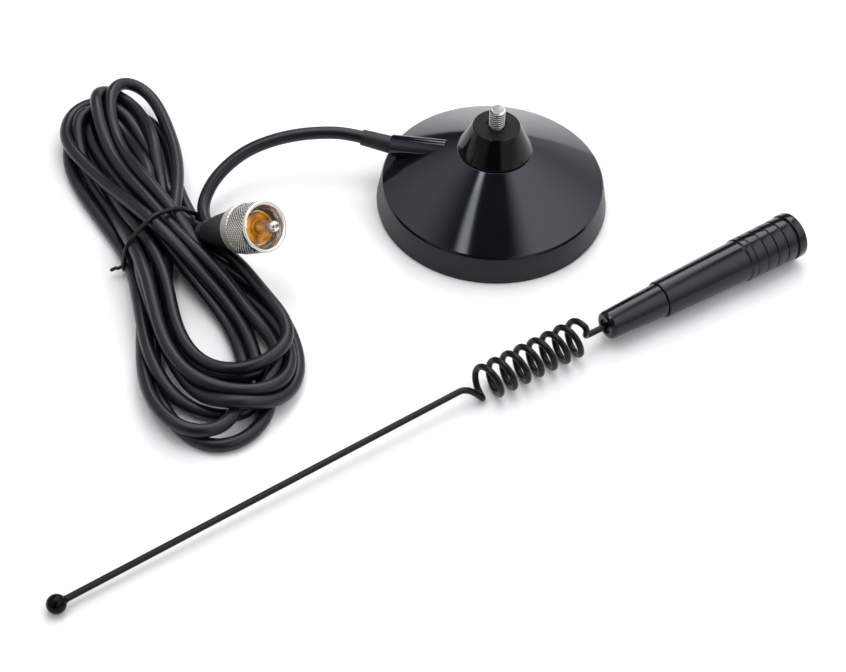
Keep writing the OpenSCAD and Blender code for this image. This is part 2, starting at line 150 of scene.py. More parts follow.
def spline(points, step):
    """Points step apart along the centripetal Catmull-Rom curve through points."""
    p = np.array(points, float)
    p = np.vstack([2 * p[0] - p[1], p, 2 * p[-1] - p[-2]])
    k = np.r_[0, np.cumsum(np.sqrt(np.linalg.norm(np.diff(p, axis=0), axis=1)))]

    def mix(a, b, start, end, t):
        return ((end - t) * a + (t - start) * b) / (end - start)

    fine = []
    for i in range(1, len(p) - 2):
        t = np.linspace(k[i], k[i + 1], SPLINE_STEPS, endpoint=False)[:, None]
        a = mix(p[i - 1], p[i], k[i - 1], k[i], t)
        b = mix(p[i], p[i + 1], k[i], k[i + 1], t)
        c = mix(p[i + 1], p[i + 2], k[i + 1], k[i + 2], t)
        ab = mix(a, b, k[i - 1], k[i + 1], t)
        bc = mix(b, c, k[i], k[i + 2], t)
        fine.append(mix(ab, bc, k[i], k[i + 1], t))
    fine = np.vstack(fine + [p[-2:-1]])
    return respaced(fine, step)


def respaced(line, step):
    """The line again, with points about step apart."""
    along = np.r_[0, np.cumsum(np.linalg.norm(np.diff(line, axis=0), axis=1))]
    places = np.linspace(0, along[-1], int(round(along[-1] / step)) + 1)
    return np.column_stack([np.interp(places, along, line[:, c]) for c in range(3)])


def bending(line):
    """How far each point stands off the straight line between its neighbours."""
    off = np.zeros_like(line)
    off[1:-1] = (line[:-2] + line[2:]) / 2 - line[1:-1]
    return off


def settled(line, held):
    """Pushes apart the turns that cross, as real ones lie on each other, and keeps the bends round."""
    line = line.copy()
    start = line.copy()
    number = np.arange(len(line))
    beside = int(math.ceil(SAME_TURN / LINE_STEP))
    other_turn = np.abs(number[:, None] - number[None, :]) > beside
    from_tie = np.linalg.norm(line[:, :2] - TIE_CENTRE, axis=1)[:, None]
    hold = (HOLD_AT_TIE + HOLD_AT_TIPS * np.clip((from_tie - TIE_REACH) / TIP_REACH, 0, 1)) * HOLD_BY_AXIS
    floor = CABLE_D / 2 + 0.05
    for turn in range(SETTLE_ROUNDS):
        if turn % LISTING_ROUNDS == 0:
            apart = ((line[:, None, :] - line[None, :, :]) ** 2).sum(2)
            a, b = np.nonzero(np.triu((apart < NEAR_GAP ** 2) & other_turn))
        way = line[b] - line[a]
        distance = np.linalg.norm(way, axis=1) + 1e-6
        short = np.maximum(REST_GAP - distance, 0) / 2 / distance
        push = np.zeros_like(line)
        met = np.zeros(len(line))
        np.add.at(push, a, -way * short[:, None])
        np.add.at(push, b, way * short[:, None])
        np.add.at(met, a, short > 0)
        np.add.at(met, b, short > 0)
        push /= np.sqrt(np.maximum(met, 1))[:, None]
        push[1:-1] = (push[:-2] + 2 * push[1:-1] + push[2:]) / 4
        loosened = 1 if turn < SETTLE_ROUNDS * LATE_FROM else LATE_HOLD
        pull = PUSH_SHARE * push + loosened * hold * (start - line)
        for _ in range(BENDING_PASSES):
            move = pull - BENDING_SHARE * bending(bending(line))
            move[:held] = 0
            move[-END_HELD:] = 0
            line += move
            pull = 0
        line[held:, 2] = np.maximum(line[held:, 2], floor)
    return line


def coax_line():
    """The settled line of the whole cable, from the boss to the plug."""
    points = list(LEAD)
    for loop in LOOPS:
        points += loop
    line = spline(points + TAIL, LINE_STEP)
    held = int(np.argmin(np.linalg.norm(line - np.array(LEAD[LEAD_HELD]), axis=1)))
    return settled(line, held)


COAX = coax_line()

# ---------------------------------------------------------------- helpers for meshes


def mesh_piece(name, points, faces, crease=40):
    """A mesh from points in millimetres, smooth except where faces meet at more than crease degrees."""
    mesh = bpy.data.meshes.new(name)
    mesh.from_pydata([tuple(p * MM for p in point) for point in points], [], faces)
    mesh.validate()
    for polygon in mesh.polygons:
        polygon.use_smooth = True
    mesh.set_sharp_from_angle(angle=math.radians(crease))
    piece = bpy.data.objects.new(name, mesh)
    bpy.context.scene.collection.objects.link(piece)
    return piece


def unit(vector):
    return vector / np.linalg.norm(vector)


def tube_mesh(name, line, radius, sides=20, closed=False):
    """A round tube along line, with no twist between its rings; closed joins its end to its start."""
    line = np.array(line, float)
    if closed:
        tangents = np.roll(line, -1, axis=0) - np.roll(line, 1, axis=0)
    else:
        tangents = np.gradient(line, axis=0)
    side = np.array([1.0, 0.3, 0.2])
    points = []
    for place, tangent in zip(line, tangents):
        tangent = unit(tangent)
        side = unit(side - side.dot(tangent) * tangent)
        other = np.cross(tangent, side)
        for k in range(sides):
            angle = 2 * math.pi * k / sides
            points.append(place + radius * (math.cos(angle) * side + math.sin(angle) * other))
    rings = len(line)
    faces = []
    for i in range(rings if closed else rings - 1):
        ahead = (i + 1) % rings
        for k in range(sides):
            n = (k + 1) % sides
            faces.append([i * sides + k, i * sides + n, ahead * sides + n, ahead * sides + k])
    if not closed:
        faces += [list(range(sides - 1, -1, -1)), list(range(len(points) - sides, len(points)))]
    return mesh_piece(name, points, faces, 50)


def placed(origin, turn_y, turn_z):
    """Frame at origin (mm) turned about Y and then Z, in degrees, as in the CAD source."""
    turn = Matrix.Rotation(math.radians(turn_z), 4, "Z") @ Matrix.Rotation(math.radians(turn_y), 4, "Y")
    return Matrix.Translation(Vector(origin)) @ turn


BASE_FRAME = Matrix.Identity(4)
PLUG_FRAME = placed(PLUG_MOUTH, 53.7, -37)
WHIP_FRAME = placed((115.1, -20.6, 9.12), 90.75, 214.9)
BOSS_FRAME = placed((-39.59, 9.87, 18.7), 98, 166)


def rounded(corners, arc_points=5):
    """Outline with each (r, z, radius) corner turned into an arc; radius 0 leaves it sharp."""
    outline = []
    count = len(corners)
    for i, (r, z, radius) in enumerate(corners):
        here = Vector((r, z))
        back = Vector(corners[i - 1][:2]) - here
        ahead = Vector(corners[(i + 1) % count][:2]) - here
        if radius == 0:
            outline.append((r, z))
            continue
        back_dir = back.normalized()
        ahead_dir = ahead.normalized()
        half = math.acos(max(-1, min(1, back_dir.dot(ahead_dir)))) / 2
        reach = min(radius / math.tan(half), 0.48 * back.length, 0.48 * ahead.length)
        size = reach * math.tan(half)
        centre = here + (back_dir + ahead_dir).normalized() * (size / math.sin(half))
        first = here + back_dir * reach - centre
        last = here + ahead_dir * reach - centre
        start = math.atan2(first.y, first.x)
        sweep = (math.atan2(last.y, last.x) - start + math.pi) % (2 * math.pi) - math.pi
        for step in range(arc_points + 1):
            angle = start + sweep * step / arc_points
            outline.append((centre.x + size * math.cos(angle), centre.y + size * math.sin(angle)))
    return outline


def turned(name, outline, where, segments=128, crease=40, shape=None):
    """A closed outline of (r, z) in millimetres, turned about +Z of the frame where.

    shape(r, z, angle) may give a new radius, for knurls and threads. A radius of 0 closes on the axis.
    How deep each point was cut, in millimetres, is kept in the mesh attribute "groove" for the material.
    """
    points = []
    cuts = []
    rows = []
    for r, z in outline:
        if r < 1e-6:
            rows.append([len(points)] * segments)
            points.append(where @ Vector((0, 0, z)))
            cuts.append(0.0)
            continue
        rows.append(list(range(len(points), len(points) + segments)))
        for s in range(segments):
            angle = 2 * math.pi * s / segments
            radius = shape(r, z, angle) if shape else r
            points.append(where @ Vector((radius * math.cos(angle), radius * math.sin(angle), z)))
            cuts.append(abs(r - radius))
    faces = []
    for i, row in enumerate(rows):
        following = rows[(i + 1) % len(rows)]
        for s in range(segments):
            n = (s + 1) % segments
            corners = [row[s], row[n], following[n], following[s]]
            kept = list(dict.fromkeys(corners))
            if len(kept) > 2:
                faces.append(kept)
    piece = mesh_piece(name, points, faces, crease)
    if shape:
        piece.data.attributes.new("groove", "FLOAT", "POINT").data.foreach_set("value", cuts)
    return piece


def riding(piece, body, slot, *stands_for):
    """The piece moves with the body and stands for the CAD nodes named; slot is not used."""
    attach(piece, body)
    if stands_for:
        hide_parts(*stands_for)


# ---------------------------------------------------------------- materials


class Surface:
    """A Principled material whose colour, roughness and bump come from nodes in object space."""

    def __init__(self, name, colour, roughness, metallic=0.0, specular=0.5, tint=(1.0, 1.0, 1.0)):
        self.material = bpy.data.materials.new(name)
        self.material.use_nodes = True
        self.tree = self.material.node_tree
        self.shader = self.tree.nodes["Principled BSDF"]
        self.shader.inputs["Base Color"].default_value = (*colour, 1)
        self.shader.inputs["Roughness"].default_value = roughness
        self.shader.inputs["Metallic"].default_value = metallic
        self.shader.inputs["Specular IOR Level"].default_value = specular
        self.shader.inputs["Specular Tint"].default_value = (*tint, 1)
        self.place = self.tree.nodes.new("ShaderNodeTexCoord").outputs["Object"]
        self.colour = None

    def noise(self, scale, detail=4.0):
        node = self.tree.nodes.new("ShaderNodeTexNoise")
        node.inputs["Scale"].default_value = scale
        node.inputs["Detail"].default_value = detail
        self.tree.links.new(self.place, node.inputs["Vector"])
        return node.outputs["Fac"]

    def ranged(self, value, low, high, start=0.3, end=0.7):
        node = self.tree.nodes.new("ShaderNodeMapRange")
        node.inputs["From Min"].default_value = start
        node.inputs["From Max"].default_value = end
        node.inputs["To Min"].default_value = low
        node.inputs["To Max"].default_value = high
        self.tree.links.new(value, node.inputs["Value"])
        return node.outputs["Result"]

    def colours(self, value, dark, light):
        """Mixes towards light by value, from dark or from the colour made so far."""
        node = self.tree.nodes.new("ShaderNodeMix")
        node.data_type = "RGBA"
        node.inputs["A"].default_value = (*dark, 1)
        node.inputs["B"].default_value = (*light, 1)
        if self.colour:
            self.tree.links.new(self.colour, node.inputs["A"])
        self.tree.links.new(value, node.inputs["Factor"])
        self.colour = node.outputs["Result"]
        self.tree.links.new(self.colour, self.shader.inputs["Base Color"])

    def paint_groove_shade(self, depth, dark):
        """Painted shade: darker towards the bottom of knurls and threads, where light hardly gets in."""
        cut = self.tree.nodes.new("ShaderNodeAttribute")
        cut.attribute_name = "groove"
        self.colours(self.ranged(cut.outputs["Fac"], 0, 1, 0.2 * depth, depth), dark, dark)

    def rough(self, value):
        self.tree.links.new(value, self.shader.inputs["Roughness"])

    def bump(self, value, distance):
        node = self.tree.nodes.new("ShaderNodeBump")
        node.inputs["Distance"].default_value = distance
        self.tree.links.new(value, node.inputs["Height"])
        self.tree.links.new(node.outputs["Normal"], self.shader.inputs["Normal"])


def grained(name, dark, light, roughness, grain, depth, cloud=60.0, **finish):
    """Colour and roughness that drift slowly over the surface, with a fine grain in its bump.

    grain and cloud are noise scales per metre, depth is the height of the grain in metres.
    """
    surface = Surface(name, dark, roughness, **finish)
    drift = surface.noise(cloud)
    surface.colours(surface.ranged(drift, 0, 1), dark, light)
    fine = surface.noise(grain, detail=2.0)
    surface.rough(surface.ranged(drift, roughness * 0.88, roughness * 1.15))
    surface.bump(fine, depth)
    return surface


def moulded_plastics():
    return {
        "shell": grained(
            "shell_gloss", (0.0028, 0.0036, 0.006), (0.004, 0.005, 0.008),
            roughness=0.09, grain=1500, depth=0.000001, tint=(0.84, 0.92, 1.0)),
        "side": grained(
            "shell_side_satin", (0.0055, 0.0055, 0.0066), (0.008, 0.008, 0.0095),
            roughness=0.37, grain=1600, depth=0.00001, specular=0.31, tint=(0.92, 0.96, 1.0)),
        "insulator": grained(
            "insulator_gloss", (0.0012, 0.0013, 0.0016), (0.002, 0.0021, 0.0026),
            roughness=0.1, grain=1200, depth=0.000002, specular=0.25),
        "insulator_top": grained(
            "insulator_top_matt", (0.004, 0.004, 0.0045), (0.007, 0.007, 0.0075),
            roughness=0.5, grain=2000, depth=0.00002, specular=0.12),
        "handle": grained(
            "handle_moulding", (0.0025, 0.0027, 0.0034), (0.0042, 0.0045, 0.0056),
            roughness=0.17, grain=1800, depth=0.000006, specular=0.36, tint=(0.88, 0.95, 1.0)),
        "ball": grained(
            "ball_gloss", (0.0012, 0.0012, 0.0015), (0.002, 0.002, 0.0024),
            roughness=0.14, grain=2500, depth=0.000004, specular=0.09),
        "phenolic": grained(
            "amber_resin", (0.24, 0.06, 0.001), (0.95, 0.46, 0.04),
            roughness=0.14, grain=1200, depth=0.000005, cloud=240.0, specular=0.25),
    }


def rubber_and_coatings():
    return {
        "pad": grained(
            "rubber", (0.005, 0.005, 0.0055), (0.009, 0.009, 0.0095),
            roughness=0.5, grain=2500, depth=0.00003, specular=0.4),
        "boot": grained(
            "boot_rubber", (0.010, 0.011, 0.013), (0.017, 0.018, 0.021),
            roughness=0.42, grain=1800, depth=0.00002, specular=0.5),
        "jacket": grained(
            "cable_jacket", (0.0038, 0.0042, 0.005), (0.006, 0.0066, 0.0078),
            roughness=0.36, grain=1400, depth=0.00001, specular=0.36, tint=(0.85, 0.94, 1.0)),
        "tie": grained(
            "tie_coating", (0.003, 0.003, 0.003), (0.005, 0.005, 0.005),
            roughness=0.4, grain=2000, depth=0.00002, specular=0.28),
        "wire": grained(
            "wire_coating", (0.002, 0.002, 0.0024), (0.0035, 0.0035, 0.004),
            roughness=0.24, grain=2500, depth=0.000008, specular=0.22),
    }


def plated_metals():
    """The metals that show; knurl and thread get painted shade in their grooves."""
    plated = {
        "nickel": grained(
            "nickel_plate", (0.80, 0.77, 0.70), (0.90, 0.87, 0.81),
            roughness=0.2, grain=3000, depth=0.000003, metallic=1.0),
        "dull_nickel": grained(
            "dull_nickel_plate", (0.80, 0.77, 0.70), (0.92, 0.89, 0.82),
            roughness=0.48, grain=3000, depth=0.000003, metallic=1.0),
        "pin": grained(
            "pin_plate", (0.86, 0.84, 0.80), (0.94, 0.92, 0.88),
            roughness=0.3, grain=3000, depth=0.000003, metallic=1.0),
        "stud": grained(
            "zinc_plate", (0.84, 0.86, 0.86), (0.95, 0.97, 0.97),
            roughness=0.34, grain=3000, depth=0.000004, metallic=0.8),
        "stud_end": grained(
            "sheared_zinc", (0.06, 0.064, 0.064), (0.30, 0.31, 0.31),
            roughness=0.45, grain=900, depth=0.00006, cloud=420.0, metallic=1.0),
    }
    # Painted shade: the knurl's and the thread's grooves darken in base colour towards their bottoms.
    plated["nickel"].paint_groove_shade(0.4, (0.10, 0.094, 0.082))
    plated["stud"].paint_groove_shade(0.16, (0.006, 0.007, 0.007))
    return plated


def inner_materials():
    """What the pieces inside the base, the plug and the handle are made of."""
    return {
        "steel": grained(
            "steel_plate", (0.42, 0.42, 0.43), (0.52, 0.52, 0.53),
            roughness=0.35, grain=900, depth=0.00001, metallic=1.0),
        "ferrite": grained(
            "ferrite", (0.03, 0.03, 0.032), (0.05, 0.05, 0.052), roughness=0.7, grain=1500, depth=0.00005),
        "fibre": grained(
            "fibre_board", (0.2, 0.07, 0.03), (0.27, 0.1, 0.045), roughness=0.6, grain=1200, depth=0.00003),
        "tinned_brass": grained(
            "tinned_brass", (0.55, 0.5, 0.36), (0.66, 0.6, 0.44),
            roughness=0.35, grain=1500, depth=0.00001, metallic=1.0),
        "core": grained(
            "polythene_core", (0.6, 0.56, 0.46), (0.7, 0.66, 0.56), roughness=0.45, grain=900, depth=0.00001),
        "copper": grained(
            "copper", (0.5, 0.2, 0.1), (0.6, 0.26, 0.13),
            roughness=0.35, grain=2500, depth=0.00003, metallic=1.0),
        "brass": grained(
            "machined_brass", (0.55, 0.38, 0.13), (0.65, 0.46, 0.17),
            roughness=0.28, grain=1500, depth=0.00001, metallic=1.0),
    }


def make_materials():
    """Every material by its slot; slots of the CAD record and a few more for parts of one piece."""
    made = moulded_plastics() | rubber_and_coatings() | plated_metals() | inner_materials()
    return {slot: surface.material for slot, surface in made.items()}


MATERIALS = make_materials()


def wear(piece, name):
    piece.data.materials.clear()
    piece.data.materials.append(MATERIALS[name])


def dress_cad_nodes():
    """Every CAD node gets the material of its slot, shown or not."""
    for row in frame["record"]["subparts"]:
        node = nodes[row["node"]]
        wear(node, row["material_slot"])
        for polygon in node.data.polygons:
            polygon.use_smooth = True
        node.data.set_sharp_from_angle(angle=math.radians(35))


dress_cad_nodes()

# ---------------------------------------------------------------- coaxial cable


def make_coax():
    line = spline(COAX, DRAWN_STEP)
    cable = tube_mesh("coax_cable", line, CABLE_D / 2, sides=24)
    wear(cable, "jacket")
    riding(cable, "base", "jacket", "cable_lead", "cable_hank", "cable_tail")
    return cable, line


coax, coax_path = make_coax()

# ---------------------------------------------------------------- magnetic base
BASE_R = 45.0
RIM_R = 43.2
RIM_H = 12.1
LAND_R = 14.4
LAND_H = 28.4
SHELL_WALL = 2.2
NECK_R = 6.4
PAD_H = 1.0
BOSS_R = 4.2
BOSS_LENGTH = 22
BOSS_BORE_R = 3.35
BOSS_BORE_DEPTH = 3


def make_base_shell():
    """The moulded shell: sloping side, rounded rim, cone and flat land, with the cable boss joined on."""
    slope = (LAND_H - RIM_H) / (RIM_R - LAND_R)
    roof_drop = SHELL_WALL * math.sqrt(1 + slope * slope)
    outline = rounded([
        (BASE_R - 0.25, PAD_H, 0.2), (BASE_R, PAD_H + 0.5, 0.2), (RIM_R + 0.14, RIM_H - 0.9, 0.4),
        (RIM_R - 0.35, RIM_H + 0.12, 0.5), (LAND_R, LAND_H, 0.4), (NECK_R, LAND_H, 0),
        (NECK_R, LAND_H - SHELL_WALL, 0), (LAND_R - 0.6, LAND_H - SHELL_WALL, 0),
        (RIM_R - SHELL_WALL, RIM_H - roof_drop + SHELL_WALL * slope, 0.4), (BASE_R - SHELL_WALL, PAD_H, 0)])
    shell = turned("base_shell_moulding", outline, BASE_FRAME, 256, crease=50)
    boss_outline = rounded([
        (0, -BOSS_LENGTH, 0), (BOSS_R, -BOSS_LENGTH, 0), (BOSS_R, 0, 0.25), (BOSS_BORE_R, 0, 0),
        (BOSS_BORE_R, -BOSS_BORE_DEPTH, 0), (0, -BOSS_BORE_DEPTH, 0)])
    boss = turned("boss", boss_outline, BOSS_FRAME, 96, crease=50)
    union = shell.modifiers.new("boss", "BOOLEAN")
    union.operation = "UNION"
    union.object = boss
    union.solver = "EXACT"
    bpy.context.view_layer.update()
    evaluated = shell.evaluated_get(bpy.context.evaluated_depsgraph_get())
    joined = bpy.data.meshes.new_from_object(evaluated)
    shell.modifiers.clear()
    shell.data = joined
    bpy.data.objects.remove(boss)
    joined.set_sharp_from_angle(angle=math.radians(30))
    wear(shell, "shell")
    joined.materials.append(MATERIALS["side"])
    for polygon in joined.polygons:
        radius = math.hypot(polygon.center.x, polygon.center.y) / MM
        steep = abs(polygon.normal.z) < 0.3
        polygon.material_index = 1 if steep and radius > RIM_R - 1 and polygon.center.z < RIM_H * MM else 0
    riding(shell, "base", "shell", "base_shell")


def make_insulator():
    """The glossy cone under the stud, with a flat matt top and a dark gap where it sits in the land."""
    foot_r = 14.2
    top_r = 8.95
    top_z = 40.1
    bore_r = 3.05
    outline = rounded([
        (bore_r, LAND_H - 2, 0), (NECK_R - 0.05, LAND_H - 2, 0), (NECK_R - 0.05, LAND_H + 0.25, 0),
        (foot_r - 0.7, LAND_H + 0.25, 0), (foot_r - 0.15, LAND_H + 0.35, 0.15), (foot_r, LAND_H + 0.8, 0.3),
        (top_r + 0.1, top_z - 0.25, 0.35), (top_r - 0.25, top_z, 0.25), (4.1, top_z, 0),
        (3.9, top_z - 0.5, 0), (bore_r, top_z - 0.5, 0)])
    insulator = turned("insulator_cone", outline, BASE_FRAME, 192)
    wear(insulator, "insulator")
    insulator.data.materials.append(MATERIALS["insulator_top"])
    for polygon in insulator.data.polygons:
        flat_top = polygon.normal.z > 0.95 and polygon.center.z > (top_z - 1) * MM
        polygon.material_index = 1 if flat_top else 0
    riding(insulator, "base", "insulator", "stud_insulator")


def thread_shape(major_r, depth, pitch, start_z, end_z, run_out=0.9):
    """Radius of a right-handed V thread with a rounded root, fading out slowly at its start."""
    def shape(r, z, angle):
        if not start_z <= z <= end_z or r < major_r - 1e-3:
            return r
        phase = (z / pitch - angle / (2 * math.pi)) % 1
        ridge = 1 - abs(2 * phase - 1)
        ridge = min(1, max(0, (ridge - 0.2) / 0.65))
        fade = min(1, (z - start_z) / run_out, (end_z - z) / 0.2)
        return r - depth * (1 - ridge) * max(0, fade)
    return shape


def make_stud():
    """The M6 stud: full where the nut holds it, waisted through the insulator, threaded above."""
    radius = 3.0
    waist_r = 2.4
    foot_z = 17.4
    waist_z = 27.2
    thread_z = 40.6
    top_z = 48.1
    chamfer = 0.6
    pitch = 1.0
    depth = 0.3
    row_step = pitch / 12
    rows = [(radius, z) for z in np.arange(thread_z, top_z - chamfer + 0.01, row_step)]
    outline = [(0, foot_z), (radius, foot_z), (radius, waist_z), (waist_r, waist_z), (waist_r, thread_z)]
    outline += rows + [(radius - chamfer, top_z), (0, top_z)]
    shape = thread_shape(radius, depth, pitch, thread_z - 0.2, top_z - 0.25)
    stud = turned("threaded_stud", outline, BASE_FRAME, 72, crease=35, shape=shape)
    wear(stud, "stud")
    stud.data.materials.append(MATERIALS["stud_end"])
    for polygon in stud.data.polygons:
        polygon.material_index = 1 if polygon.center.z > (top_z - 0.01) * MM else 0
    riding(stud, "base", "stud", "mounting_stud")


make_base_shell()
make_insulator()
make_stud()

# ---------------------------------------------------------------- plug
RING_R = 9.5
RING_LENGTH = 16.5
RING_BORE_R = 7.94
RING_REAR_BORE_R = 6.38
KNURL_START = -11.8
KNURL_END = -1.7
KNURLS = 44
KNURL_PITCH = 1.38
KNURL_DEPTH = 0.42


def knurl(r, z, angle):
    """Diamond knurl: a ridge wherever two sets of crossing helical grooves leave metal."""
    if r < RING_R - 1e-3 or not KNURL_START <= z <= KNURL_END:
        return r
    around = KNURLS * angle / (2 * math.pi)
    along = z / KNURL_PITCH
    one = abs(((around + along) % 1) * 2 - 1)
    two = abs(((around - along) % 1) * 2 - 1)
    edge = min(1, (z - KNURL_START) / 0.4, (KNURL_END - z) / 0.4)
    return r - KNURL_DEPTH * max(one, two) ** 1.2 * max(0, edge)


def make_coupling_ring():
    """The knurled ring: dull plain band behind, diamond knurl, plain bright lip, dull thread inside."""
    knurl_rows = [(RING_R, z) for z in np.arange(KNURL_START, KNURL_END + 0.01, 0.13)]
    bore_rows = [(RING_BORE_R, z) for z in np.arange(-0.9, -12.9, -0.15)]
    outline = [(RING_REAR_BORE_R, -RING_LENGTH), (8.3, -RING_LENGTH), (8.8, -16.4), (9.05, -16.0),
               (9.25, -12.1)]
    outline += knurl_rows
    outline += [(RING_R - 0.12, -1.45), (RING_R, -1.3), (RING_R, -0.35), (9.35, -0.1), (9.1, 0), (8.45, 0),
                (8.3, -0.1), (RING_BORE_R, -0.6)]
    outline += bore_rows + [(RING_BORE_R, -13), (RING_REAR_BORE_R, -13)]
    depth = 0.36
    pitch = 25.4 / 24      # 24 threads to the inch

    def shape(r, z, angle):
        if abs(r - RING_BORE_R) < 1e-3 and z < -0.8:
            phase = (z / pitch - angle / (2 * math.pi)) % 1
            return r + depth * (1 - abs(2 * phase - 1)) * min(1, (-0.8 - z) / 0.8)
        return knurl(r, z, angle)

    ring = turned("knurled_ring", outline, PLUG_FRAME, KNURLS * 8, crease=60, shape=shape)
    wear(ring, "nickel")
    ring.data.materials.append(MATERIALS["dull_nickel"])
    to_plug = PLUG_FRAME.inverted()
    for polygon in ring.data.polygons:
        place = to_plug @ (polygon.center / MM)
        in_bore = math.hypot(place.x, place.y) < RING_BORE_R + 0.05
        polygon.material_index = 1 if in_bore or place.z < KNURL_START else 0
    riding(ring, "ring", "nickel", "coupling_ring")


def make_boot():
    """The rubber boot behind the ring, with three low rings at its cable end."""
    cable_r = CABLE_D / 2 + 0.03
    outline = rounded([
        (cable_r, -41, 0), (3.7, -41, 0.3), (4.0, -39.9, 0.3), (3.7, -39.2, 0.2), (4.3, -38.5, 0.25),
        (4.0, -37.8, 0.2), (4.6, -37.1, 0.25), (4.4, -36.3, 0.3), (6.2, -29, 2), (7.5, -20, 2),
        (7.75, -17.35, 0.4), (7.5, -17.05, 0.2), (5.45, -17.05, 0), (5.45, -24, 0), (cable_r, -25.4, 0)])
    boot = turned("plug_boot_moulding", outline, PLUG_FRAME, 96, crease=50)
    wear(boot, "boot")
    riding(boot, "base", "pad", "plug_boot")


def make_disc():
    """The amber insulator: stepped face in the barrel, with a thin lip over the barrel's rim."""
    outline = rounded([
        (1.45, -15.9, 0), (5.6, -15.9, 0), (5.6, -3.93, 0), (6.0, -3.93, 0), (6.0, -3.6, 0.15),
        (5.45, -3.55, 0.15), (5.0, -4.75, 0.3), (3.6, -4.9, 0.2), (3.3, -4.1, 0.2), (2.5, -4.1, 0.15),
        (2.3, -4.6, 0.1), (1.45, -4.6, 0)])
    disc = turned("amber_insulator", outline, PLUG_FRAME, 96, crease=50)
    wear(disc, "phenolic")
    riding(disc, "base", "phenolic", "plug_insulator")


def make_pin():
    """Round-nosed hollow centre pin."""
    radius = 2.0
    tip = 7.0
    nose = [(radius * math.cos(math.radians(a)), tip - radius + radius * math.sin(math.radians(a)))
            for a in range(0, 68, 6)]
    outline = [(0, -16), (1.4, -16), (1.4, -3.6), (radius, -3.6)] + nose
    outline += [(0.72, tip - 0.3), (0.66, tip - 0.6), (0.66, tip - 3), (0, tip - 3)]
    pin = turned("centre_pin", outline, PLUG_FRAME, 64, crease=50)
    wear(pin, "pin")
    riding(pin, "base", "nickel", "plug_pin")


make_coupling_ring()
make_boot()
make_disc()
make_pin()

# ---------------------------------------------------------------- twist tie
TIE_D = 1.8
HANK_HALF = 18.5         # no turn at the tie is further from its centre


def tie_outline():
    """Places (across, height) where the cable's turns pass through the tie's upright plane."""
    along = np.array([math.cos(TIE_BEARING + math.pi / 2), math.sin(TIE_BEARING + math.pi / 2)])
    across = np.array([math.cos(TIE_BEARING), math.sin(TIE_BEARING)])
    flat = COAX[:, :2] - TIE_CENTRE
    depth = flat @ along
    found = []
    for i in range(len(COAX) - 1):
        if depth[i] * depth[i + 1] < 0 and np.hypot(*flat[i]) < HANK_HALF:
            t = depth[i] / (depth[i] - depth[i + 1])
            place = COAX[i] + t * (COAX[i + 1] - COAX[i])
            found.append(((place[:2] - TIE_CENTRE) @ across, place[2]))
    return found, across


def hull_loop(centres, radius, count=72):
    """Tight loop round circles of that radius: the furthest reach of any circle in each direction."""
    centres = np.array(centres)
    middle = (centres.min(0) + centres.max(0)) / 2
    loop = []
    for k in range(count):
        angle = 2 * math.pi * k / count
        way = np.array([math.cos(angle), math.sin(angle)])
        best = int(np.argmax((centres - middle) @ way))
        loop.append(centres[best] + radius * way)
    return loop


def make_tie():
    """Plastic-coated wire pulled tight round the hank, its ends twisted together at the left."""
    centres, across = tie_outline()
    loop = hull_loop(centres, CABLE_D / 2 + TIE_D / 2 - 0.05)
    line = []
    for reach, height in loop:
        place = TIE_CENTRE + across * reach
        line.append((place[0], place[1], max(height, TIE_D / 2 + 0.05)))
    smooth = respaced(np.array(line + line[:1]), 1.2)[:-1]
    for _ in range(6):
        smooth = (np.roll(smooth, 1, 0) + 2 * smooth + np.roll(smooth, -1, 0)) / 4
    tie = tube_mesh("twist_tie", smooth, TIE_D / 2, sides=16, closed=True)
    wear(tie, "tie")
    riding(tie, "base", "tie", "cable_tie")
    make_tie_end(min(smooth, key=lambda place: (place[:2] - TIE_CENTRE) @ across))


def make_tie_end(start):
    """The twisted ends of the tie, a short slightly wavy stub that points left from start."""
    length = 4.6
    steps = 18
    wave = 0.18
    lowest = 1.1
    stub = []
    for i in range(steps + 1):
        along = i / steps * length
        angle = math.radians(75) * i / 2
        x = start[0] - 0.3 - 0.98 * along
        y = start[1] - 0.25 * along + wave * math.cos(angle)
        z = max(lowest, start[2] - 0.15 * along + wave * math.sin(angle))
        stub.append((x, y, z))
    end = tube_mesh("twist_tie_end", stub, 0.65, sides=14)
    wear(end, "tie")
    riding(end, "base", "tie")


make_tie()

# ---------------------------------------------------------------- whip
STEP_AT = 64.2
GRIP_END = 26.2
GRIP_GROOVES = [8.9, 13.8, 18.7, 23.6]
HANDLE_LENGTH = 89.2
FLANGE_R = 9.1
FLANGE_H = 3.6
GROOVE_HALF = 0.35
GROOVE_R = 8.2


def grip_radius(z):
    return 8.7 - 0.2 * (z - FLANGE_H) / (GRIP_END - FLANGE_H)


def make_handle_body():
    """Flange, grooved grip and tapering body."""
    corners = [(5.05, 0, 0), (FLANGE_R - 0.1, 0, 0.5), (FLANGE_R, FLANGE_H - 0.05, 0.45),
               (8.15, FLANGE_H + 0.15, 0.1), (8.15, FLANGE_H + 0.75, 0.1),
               (grip_radius(FLANGE_H) + 0.02, FLANGE_H + 1.0, 0.25)]
    for z in GRIP_GROOVES:
        r = grip_radius(z)
        corners += [(r, z - GROOVE_HALF, 0.16), (GROOVE_R, z - 0.12, 0.08), (GROOVE_R, z + 0.12, 0.08),
                    (r, z + GROOVE_HALF, 0.16)]
    corners += [(grip_radius(GRIP_END), GRIP_END - 0.1, 0.3), (8.1, GRIP_END + 0.25, 0.1),
                (8.0, GRIP_END + 0.6, 0.2), (7.05, STEP_AT - 0.15, 0.3), (6.75, STEP_AT, 0.1),
                (5.2, STEP_AT, 0), (5.2, 12, 0), (5.05, 12, 0)]
    body = turned("handle_grip", rounded(corners), WHIP_FRAME, 160, crease=40)
    wear(body, "handle")
    riding(body, "whip", "handle", "handle_body")


